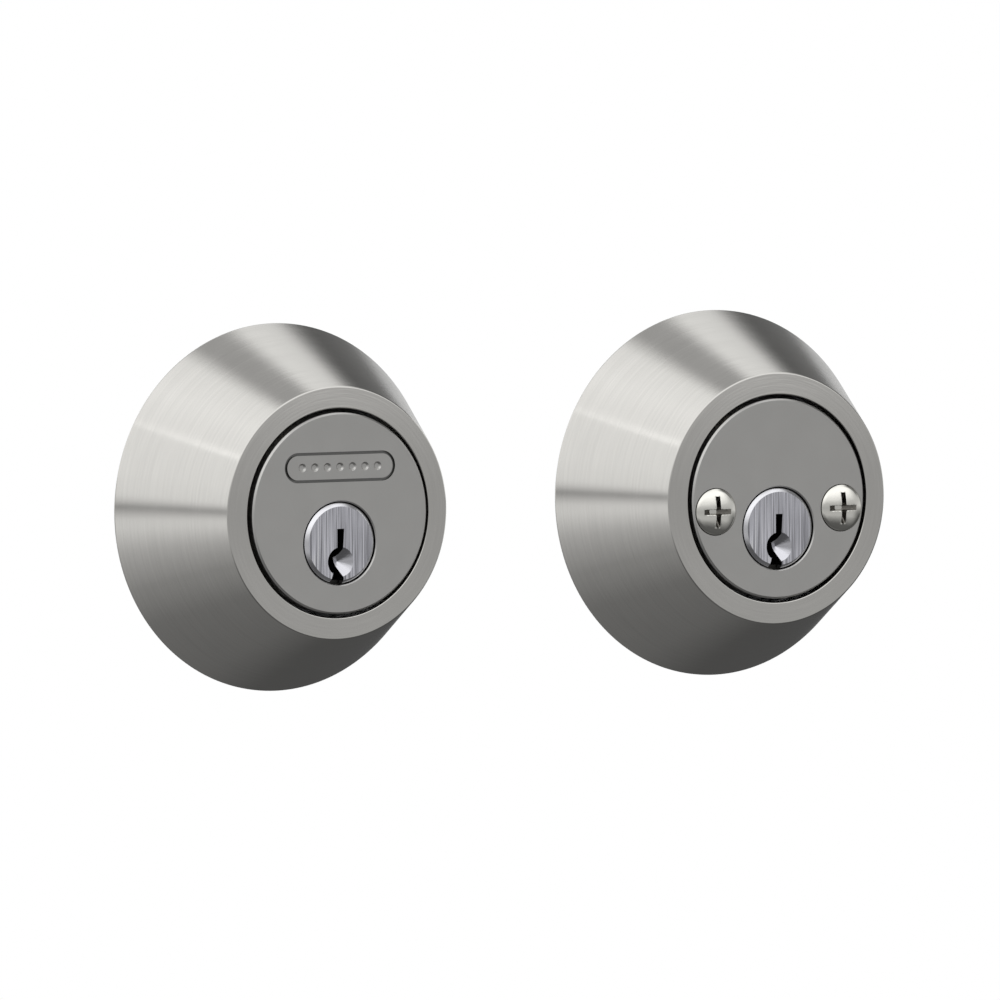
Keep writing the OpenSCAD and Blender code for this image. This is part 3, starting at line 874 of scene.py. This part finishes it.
    def guard_ring(self) -> None:
        """Turns the hardened ring that sits inside the collar."""
        low = self.plate_t
        high = low + self.guard_flange_t
        profile = [
            (self.guard_inner_r, low), (self.guard_flange_r, low), (self.guard_flange_r, high),
            (self.guard_outer_r + self.guard_fillet, high), (self.guard_outer_r, high + self.guard_fillet),
            (self.guard_outer_r, self.guard_top), (self.guard_inner_r, self.guard_top),
        ]
        shape = Shape().turn(profile, self.guard_steps).soften(self.guard_edge, segments=2)
        shape.finish(self.node("guard_ring"), self.place)

    def wave_spring(self) -> None:
        """Bends a flat ring into waves."""
        middle = (self.guard_top + self.collar_h - self.flange_t) / 2
        inner = self.guard_inner_r + self.wave_inset
        half = self.wave_t / 2
        profile = [(inner, -half), (self.guard_outer_r, -half), (self.guard_outer_r, half), (inner, half)]
        shape = Shape().turn(profile, self.wave_steps).soften(self.wave_edge, segments=1)
        for vert in shape.bm.verts:
            angle = math.atan2(vert.co.y, vert.co.x)
            vert.co.z += middle + self.wave_rise * math.sin(self.wave_count * angle)
        shape.finish(self.node("wave_spring"), self.place)

    def pin_springs(self) -> None:
        """Winds the springs that press on the driver pins."""
        low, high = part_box(self.node("pin_springs"))
        height = (high.z - low.z) / MM
        bottom = low.z / MM
        first = -low.y / MM - self.spring_r - self.wire / 2
        half = self.wire / 2
        angles = [FULL_TURN * side / self.wire_sides for side in range(self.wire_sides)]
        section = [(self.spring_r + half * math.cos(a), half + half * math.sin(a)) for a in angles]
        rise = (height - self.wire) / self.spring_turns
        one = Shape().coil(section, rise, self.spring_turns, self.spring_steps)
        springs = Shape()
        for index in range(self.pin_count):
            at = Matrix.Translation((0, bottom, first - index * self.pin_pitch))
            springs.add(one, at @ Matrix.Rotation(-math.pi / 2, 4, "X"))
        springs.finish(self.node("pin_springs"), self.place)


@dataclass
class MountingScrews:
    """The two oval-head machine screws in the inside half. Sizes in millimetres."""

    half: CylinderHalf
    head_r: float = 4.0
    crest_r: float = 2.083
    core_r: float = 1.62
    pitch: float = 0.794
    thread_end: float = 17.0
    head_cut: float = 18.0
    head_rise: float = 2.6
    head_edge: float = 0.05
    head_sharp: float = 30.0
    recess_r: float = 2.9
    dome_tilt: float = 0.86
    point: float = 0.5
    shank_steps: int = 32
    crest_half: float = 0.05
    root_sink: float = 0.05
    root_share: float = 0.9
    thread_steps: int = 24
    offset: float = field(init=False)
    height: float = field(init=False)
    back: float = field(init=False)

    def __post_init__(self) -> None:
        """Finds the two screws' axes and points in the frame."""
        low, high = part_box("mounting_screws")
        self.offset = (high.x - low.x) / MM / 2 - self.head_r
        self.height = ((low.z + high.z) / 2) / MM
        self.back = -high.y / MM

    def build(self) -> None:
        """Keeps the heads and sets a threaded shank on each."""
        shape = Shape.from_node("mounting_screws", self.half.place)
        geometry = list(shape.bm.verts) + list(shape.bm.edges) + list(shape.bm.faces)
        bmesh.ops.bisect_plane(
            shape.bm, geom=geometry, plane_co=(0, 0, self.head_cut), plane_no=(0, 0, -1), clear_outer=True
        )
        shape.soften(self.head_edge, segments=1, sharper_than=self.head_sharp)
        shank = self._shank()
        for side in (-1, 1):
            shape.add(shank, Matrix.Translation((side * self.offset, self.height, 0)))
        # Painted shade: the cross recesses get dark grey for the shade in them.
        shape.finish("mounting_screws", self.half.place, accents={"painted_shade_recess": self._in_recess})

    def _shank(self) -> Shape:
        """Turns one shank on the local axis and winds its thread.

        Returns:
            The shank, from its point up into the head.
        """
        core = [
            (0, self.back), (self.core_r - self.point, self.back), (self.core_r, self.back + self.point),
            (self.core_r, self.thread_end), (self.crest_r, self.thread_end + self.point),
            (self.crest_r, self.head_cut), (0, self.head_cut),
        ]
        shank = Shape().turn(core, self.shank_steps, closed=False)
        root_r = self.core_r - self.root_sink
        root_half = self.pitch / 2 * self.root_share
        section = [
            (root_r, -root_half), (self.crest_r, -self.crest_half),
            (self.crest_r, self.crest_half), (root_r, root_half),
        ]
        # The thread runs out half a turn short of the plain shank.
        turns = round((self.thread_end - self.back - self.pitch) / self.pitch) - 0.5
        thread = Shape().coil(section, self.pitch, turns, self.thread_steps)
        shank.add(thread, Matrix.Translation((0, 0, self.back + self.pitch)))
        return shank

    def _in_recess(self, face: bmesh.types.BMFace) -> bool:
        """Tells whether a face is in the cross recess of a head.

        Args:
            face: The face, in the local frame.

        Returns:
            Whether it is.
        """
        middle = face.calc_center_median()
        from_axis = math.hypot(abs(middle.x) - self.offset, middle.y - self.height)
        raised = middle.z > self.head_cut + self.head_rise
        return raised and from_axis < self.recess_r and face.normal.z < self.dome_tilt


# ---------------------------------------------------------------- the bolt group


@dataclass
class BoltGroup:
    """Faceplate, tube, case, cam and the sliding bar with its link."""

    # Width of the rounding on the edges of each piece, in millimetres.
    EDGES: ClassVar[dict[str, float]] = {
        "bolt_faceplate": 0.35, "strike_plate": 0.35, "bolt_backplate": 0.2, "bolt_tube": 0.2,
        "case_front_half": 0.4, "case_back_half": 0.4, "deadbolt_bar": 0.35, "bolt_link": 0.2,
        "detent_spring": 0.2, "cam": 0.35, "case_rivets": 0.25, "link_rivet": 0.25, "drive_pin": 0.25,
    }
    roller_edge: float = 0.4
    place: Place = field(init=False)

    def __post_init__(self) -> None:
        """Finds the bolt's axis in the frame."""
        low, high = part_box("cam")
        bar_low, bar_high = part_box("deadbolt_bar")
        centre = Vector(((low.x + high.x) / 2, (bar_low.y + bar_high.y) / 2, 0))
        self.place = Place("bolt", Matrix.Translation(centre) @ Matrix.Scale(MM, 4), centre)

    def build(self) -> None:
        """Builds every piece of the group."""
        for node, edge in self.EDGES.items():
            refine([node], self.place, edge)
        refine(["hardened_roller"], self.place, self.roller_edge, "roller_steel")


# ---------------------------------------------------------------- studio


@dataclass
class Studio:
    """Camera, floor, reflection cards and light.

    Sizes are in metres, those of the lens in millimetres, and angles in degrees.
    """

    axis: Vector
    azimuth: float = -30.8
    elevation: float = 3.2
    view_width: float = 0.1725
    lens: float = 1200.0
    sensor: float = 36.0
    aside: float = 0.03917
    raised: float = 0.0012
    far: float = 400.0
    floor_size: float = 60.0
    floor_gap: float = 0.0002
    card_aside: float = 0.044
    card_high: float = 0.028
    card_deep: float = 0.032
    card_middle_y: float = -0.010
    front_edges: Point = (0.15, 0.60)

    # Light round the halves' axis, as (degrees from +X towards +Z, brightness).
    ROUND: ClassVar[tuple[Point, ...]] = (
        (-180, 0.80), (-166, 0.78), (-156, 0.52), (-140, 0.34), (-120, 0.21), (-85, 0.17),
        (-60, 0.10), (-22, 0.085), (-13, 0.10), (-6, 0.36), (-1, 0.72), (4, 0.62), (11, 0.54), (19, 0.20),
        (40, 0.13), (46, 0.30), (54, 0.95), (70, 1.10), (78, 0.50), (92, 0.48), (101, 1.15),
        (120, 1.25), (139, 1.15), (142, 1.60), (146, 1.10), (165, 1.12), (180, 0.80),
    )
    # Light of the side cards, as (height in metres, brightness).
    CARD: ClassVar[tuple[Point, ...]] = (
        (-0.028, 0.32), (-0.018, 0.46), (-0.0128, 0.57), (-0.0102, 0.67), (-0.0069, 0.82), (-0.0050, 0.90),
        (-0.0028, 0.90), (-0.0010, 0.68), (0.0009, 0.38), (0.0026, 0.80), (0.0044, 1.01), (0.012, 1.08),
        (0.028, 1.12),
    )
    # Light from the front, as (height of its direction from -1 to 1, brightness).
    FRONT: ClassVar[tuple[Point, ...]] = (
        (-1.0, 0.08), (-0.56, 0.11), (-0.42, 0.30), (-0.30, 0.52), (-0.18, 0.50), (-0.06, 0.455),
        (0.02, 0.475), (0.15, 0.60), (0.27, 0.90), (0.5, 1.30), (1.0, 1.20),
    )

    def build(self) -> None:
        """Sets up the whole studio."""
        self.camera()
        self.floor()
        self.cards()
        self.light()
        view = bpy.context.scene.view_settings
        view.view_transform = "Standard"
        view.look = "None"

    def camera(self) -> None:
        """Places a long lens that takes in both halves."""
        turn = math.radians(self.azimuth)
        tilt = math.radians(self.elevation)
        out = Vector((math.sin(turn) * math.cos(tilt), -math.cos(turn) * math.cos(tilt), math.sin(tilt)))
        right = Vector((math.cos(turn), math.sin(turn), 0))
        target = self.axis + right * self.aside + Vector((0, 0, self.raised))
        lens = bpy.data.cameras.new("camera")
        lens.lens = self.lens
        lens.sensor_width = self.sensor
        lens.clip_end = self.far
        camera = bpy.data.objects.new("camera", lens)
        distance = self.lens / self.sensor * self.view_width
        camera.location = target + out * distance
        camera.rotation_euler = out.to_track_quat("Z", "Y").to_euler()
        bpy.context.scene.collection.objects.link(camera)
        bpy.context.scene.camera = camera

    def floor(self) -> None:
        """Lays a plain white floor under the collars."""
        at = Matrix.Translation((0, 0, CAD_BOX[0][2] - self.floor_gap))
        size = Matrix.Diagonal((self.floor_size, self.floor_size, 1, 1))
        paint = self._glow("white_floor", lambda graph: 1.0)
        self._panel("floor", at @ size, paint).visible_glossy = False

    def cards(self) -> None:
        """Hangs a graded card at the left of each half, for its left flank to mirror."""
        glow = self._glow("card_glow", self._card_grade)
        turn = Matrix.Rotation(math.pi / 2, 4, "Y")
        size = Matrix.Diagonal((2 * self.card_high, self.card_deep, 1, 1))
        for name, aside in (("card_left", -self.card_aside), ("card_middle", self.card_aside)):
            at = Matrix.Translation((self.axis.x + aside, self.card_middle_y, 0))
            self._panel(name, at @ turn @ size, glow).visible_camera = False

    def _card_grade(self, graph: Graph) -> Signal:
        """Grades a card's light by height.

        Args:
            graph: The node tree of the cards' material.

        Returns:
            The brightness.
        """
        where = graph.node("ShaderNodeTexCoord", None, None, "Object")
        height = graph.split(where)[2] / (2 * self.card_high) + 0.5
        stops = [(place / self.card_high / 2 + 0.5, level / LIGHT_TOP) for place, level in self.CARD]
        return graph.node("ShaderNodeValToRGB", {"stops": stops}, {"Fac": height}) * LIGHT_TOP

    @staticmethod
    def _glow(name: str, grade: Callable[[Graph], Number]) -> bpy.types.Material:
        """Makes a white material that shines by itself.

        Args:
            name: The material's name.
            grade: Gives its brightness in its node tree.

        Returns:
            The material.
        """
        glow = bpy.data.materials.new(name)
        glow.use_nodes = True
        graph = Graph(glow.node_tree)
        light = graph.node("ShaderNodeEmission", None, {"Color": WHITE, "Strength": grade(graph)})
        graph.node("ShaderNodeOutputMaterial", None, {"Surface": light})
        return glow

    @staticmethod
    def _panel(name: str, place: Matrix, paint: bpy.types.Material) -> bpy.types.Object:
        """Adds a flat panel to the scene, which neither lights dull surfaces nor casts a shadow.

        Args:
            name: The panel's name.
            place: The panel's size and place, for a square with sides of one metre.
            paint: Its material.

        Returns:
            The panel.
        """
        shape = bmesh.new()
        bmesh.ops.create_grid(shape, x_segments=1, y_segments=1, size=0.5)
        bmesh.ops.transform(shape, matrix=place, verts=shape.verts)
        mesh = bpy.data.meshes.new(name)
        shape.to_mesh(mesh)
        shape.free()
        mesh.materials.append(paint)
        panel = bpy.data.objects.new(name, mesh)
        bpy.context.scene.collection.objects.link(panel)
        panel.visible_diffuse = False
        panel.visible_shadow = False
        return panel

    def light(self) -> None:
        """Surrounds the lock with soft strips of light that run from front to back."""
        world = bpy.data.worlds.new("studio")
        bpy.context.scene.world = world
        world.use_nodes = True
        graph = Graph(world.node_tree)
        x, y, z = graph.split(graph.node("ShaderNodeTexCoord", None, None, "Generated"))
        turn = x.math("ARCTAN2", z, x) / FULL_TURN + 0.5
        stops = [(angle / 360 + 0.5, level / LIGHT_TOP) for angle, level in self.ROUND]
        around = graph.node("ShaderNodeValToRGB", {"stops": stops}, {"Fac": turn})
        stops = [(height / 2 + 0.5, level / LIGHT_TOP) for height, level in self.FRONT]
        ahead = graph.node("ShaderNodeValToRGB", {"stops": stops}, {"Fac": z / 2 + 0.5})
        facing = (0.0 - y).smoothstep(*self.front_edges)
        level = around.blend(ahead, facing) * LIGHT_TOP
        seen = graph.node("ShaderNodeLightPath", None, None, "Is Camera Ray")
        strength = level.blend(1.0, seen)
        sky = graph.node("ShaderNodeBackground", None, {"Color": WHITE, "Strength": strength})
        graph.node("ShaderNodeOutputWorld", None, {"Surface": sky})


def main() -> None:
    """Builds the lock piece by piece."""
    logging.basicConfig(level=logging.INFO, format="%(name)s: %(message)s")
    outside = CylinderHalf(Side.OUTSIDE)
    inside = CylinderHalf(Side.INSIDE)
    Studio(outside.place.centre).build()
    outside.build()
    inside.build()
    MountingScrews(inside).build()
    BoltGroup().build()


if __name__ == "__main__":
    main()
